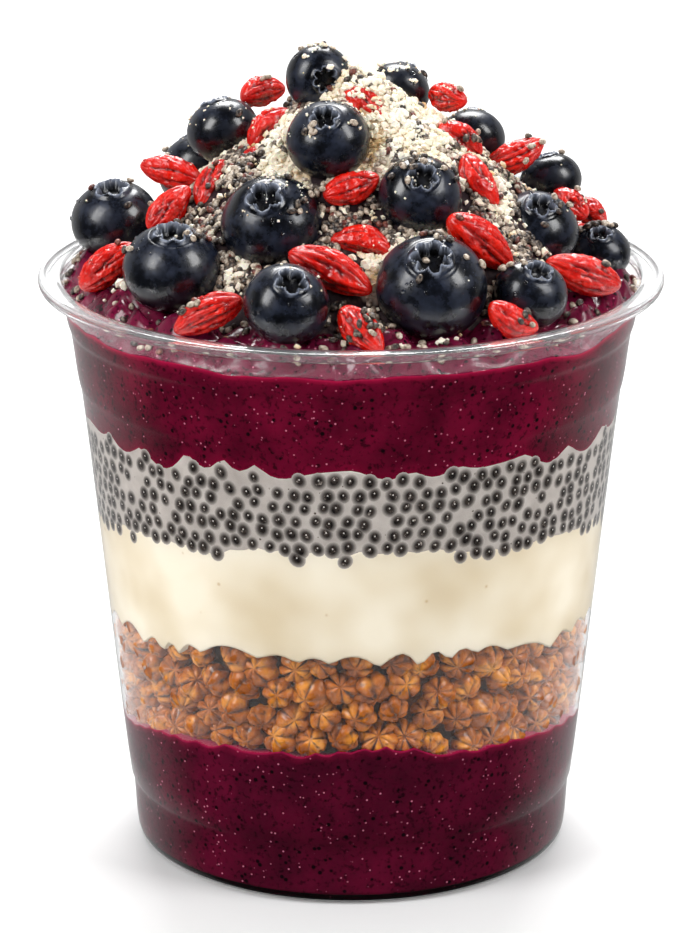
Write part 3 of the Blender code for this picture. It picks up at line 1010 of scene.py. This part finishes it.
def make_crumbs(on_heap, on_fruit):
    """Coconut crumb: a dense crust at the top, small drifts elsewhere and dust on the fruit."""
    draw = random.Random(33)
    coarse = []
    fine = []
    for _ in range(26000):
        line = aim(draw, 36.0)
        hit = first_hit(on_heap, line)
        hit_fruit = first_hit(on_fruit, line)
        if hit_fruit and (hit is None or hit_fruit[2] < hit[2]):
            x, y, _ = hit_fruit[0]
            crest = smooth_step(12.0, 6.0, math.hypot(x - 2.0, y - 2.0))
            patchy = smooth_step(-0.2, 0.2, noise.noise(hit_fruit[0] / 4.0))
            dusted = 0.10 * coconut_share(x, y) + 0.006 + 0.5 * crest * patchy
            if draw.random() > dusted or hit_fruit[1].z < 0.3:
                continue
            hit = hit_fruit
            grain = draw.uniform(0.10, 0.30 + 0.3 * crest)
        else:
            if hit is None or draw.random() > 0.07 + 0.93 * coconut_share(hit[0].x, hit[0].y):
                continue
            grain = draw.uniform(0.16, 0.42) if draw.random() < 0.72 else draw.uniform(0.42, 0.8)
        size = Vector((grain * draw.uniform(0.8, 1.5), grain, grain * draw.uniform(0.6, 1.0)))
        (coarse if grain > 0.42 else fine).append(resting(hit[0], hit[1], size, draw, 0.2))
    mat = crumb_finish()
    finish_piece("coconut_crumbs", copies(coarse_crumb(draw), coarse), mat, smooth=False)
    finish_piece("coconut_dust", copies(fine_crumb(draw), fine), mat, smooth=False)


def make_dew(on_fruit):
    draw = random.Random(44)
    places = []
    for _ in range(900):
        hit = first_hit(on_fruit, aim(draw, 42.0))
        if not hit or hit[1].z < 0.1:
            continue
        size = draw.uniform(0.15, 0.42)
        places.append(resting(hit[0], hit[1], Vector((size, size, size * 0.5)), draw, 0.9))
    finish_piece("dew_beads", copies(ball(8, 6), places), water_finish())


# =============================================================== surroundings
def make_floor():
    bm = bmesh.new()
    bmesh.ops.create_grid(bm, x_segments=1, y_segments=1, size=3.0)
    mesh = bpy.data.meshes.new("floor")
    bm.to_mesh(mesh)
    bm.free()
    finish = Finish("floor_white", Roughness=0.9, Specular_IOR_Level=0.0)
    finish.shader.inputs["Base Color"].default_value = (0.77, 0.77, 0.77, 1.0)
    mesh.materials.append(finish.mat)
    floor = bpy.data.objects.new("floor", mesh)
    bpy.context.scene.collection.objects.link(floor)
    floor.visible_glossy = False


def world_band(tree, value, low, high, start, end):
    band = tree.nodes.new("ShaderNodeMapRange")
    band.interpolation_type = "SMOOTHSTEP"
    for socket, number in zip(("From Min", "From Max", "To Min", "To Max"), (low, high, start, end)):
        band.inputs[socket].default_value = number
    tree.links.new(value, band.inputs["Value"])
    return band.outputs["Result"]


def make_world():
    """White all round for soft light; in gloss only the far side is white, and the near side dark."""
    world = bpy.data.worlds.new("studio")
    bpy.context.scene.world = world
    world.use_nodes = True
    tree = world.node_tree
    background = tree.nodes["Background"]
    path = tree.nodes.new("ShaderNodeLightPath")
    coords = tree.nodes.new("ShaderNodeTexCoord")
    split = tree.nodes.new("ShaderNodeSeparateXYZ")
    tree.links.new(coords.outputs["Generated"], split.inputs[0])
    backs = world_band(tree, split.outputs["Y"], -0.1, 0.7, 0.03, 0.55)
    lows = world_band(tree, split.outputs["Z"], 0.25, 0.6, 1.0, 0.25)
    seen = tree.nodes.new("ShaderNodeMath")
    seen.operation = "MULTIPLY"
    tree.links.new(backs, seen.inputs[0])
    tree.links.new(lows, seen.inputs[1])
    pick = tree.nodes.new("ShaderNodeMix")
    pick.data_type = "FLOAT"
    pick.inputs[3].default_value = 0.54
    soft = tree.nodes.new("ShaderNodeMath")
    soft.operation = "MINIMUM"
    soft.inputs[1].default_value = 1.0
    tree.links.new(path.outputs["Diffuse Depth"], soft.inputs[0])
    tree.links.new(soft.outputs[0], pick.inputs[0])
    tree.links.new(seen.outputs[0], pick.inputs[2])
    tree.links.new(pick.outputs[0], background.inputs["Strength"])
    background.inputs["Color"].default_value = (1.0, 1.0, 1.0, 1.0)


def add_lamp(name, place, target, size, power):
    data = bpy.data.lights.new(name, "AREA")
    data.shape = "RECTANGLE"
    data.size, data.size_y = size
    data.energy = power
    lamp = bpy.data.objects.new(name, data)
    lamp.location = place
    lamp.rotation_euler = (Vector(target) - Vector(place)).to_track_quat("-Z", "Y").to_euler()
    bpy.context.scene.collection.objects.link(lamp)


def make_lights():
    top = (0, 0, 0.10)
    add_lamp("left_box", (-0.55, -0.35, 0.60), top, (0.30, 0.50), 4.2)
    add_lamp("right_box", (0.60, -0.30, 0.65), top, (0.30, 0.50), 4.2)
    add_lamp("back_box", (0.02, 0.50, 0.70), top, (0.50, 0.35), 8.0)


def make_camera():
    """Long lens, level, looking down about 18 degrees."""
    data = bpy.data.cameras.new("camera")
    data.sensor_width = 36.0
    data.lens = LENS
    data.dof.use_dof = False
    camera = bpy.data.objects.new("camera", data)
    camera.location = CAMERA_PLACE
    camera.rotation_euler = (math.radians(90 - CAMERA_DOWN), 0, 0)
    bpy.context.scene.collection.objects.link(camera)
    bpy.context.scene.camera = camera


def lip_tint_and_highlight(finish, colour):
    """Brighter puree along the edges of a layer at the wall: partly thinner puree, partly a painted
    highlight.
    """
    lip = finish.attribute("lip").outputs["Fac"]
    base = finish.shader.inputs["Base Color"].links[0].from_socket
    finish.link(finish.mix(lip, base, colour), "Base Color")


def main():
    scene = bpy.context.scene
    scene.view_settings.view_transform = "Standard"
    scene.view_settings.look = "None"
    make_camera()
    make_floor()
    make_world()
    make_lights()
    make_cup()
    base = acai_finish("acai_base_finish", srgb(60, 8, 27), srgb(96, 13, 42), 0.0, 0.4)
    top = acai_finish("acai_top_finish", srgb(66, 4, 24), srgb(112, 12, 44), 0.0, 0.4)
    lip_tint_and_highlight(base, srgb(150, 22, 62))
    lip_tint_and_highlight(top, srgb(156, 18, 58))
    wet = acai_finish("acai_open_finish", srgb(78, 10, 36), srgb(120, 18, 58), 0.5, 0.1)
    make_acai_base(base.mat)
    make_granola()
    make_yogurt()
    make_chia_gel()
    make_chia_seeds()
    puree = make_acai_top(top.mat, wet.mat)
    heap = make_heap_core()
    berries = make_blueberries() + make_goji()
    on_heap = surface_tree([heap, puree])
    on_fruit = surface_tree(berries)
    make_crumbs(on_heap, on_fruit)
    make_seeds(on_heap, on_fruit)
    make_dew(on_fruit)


main()
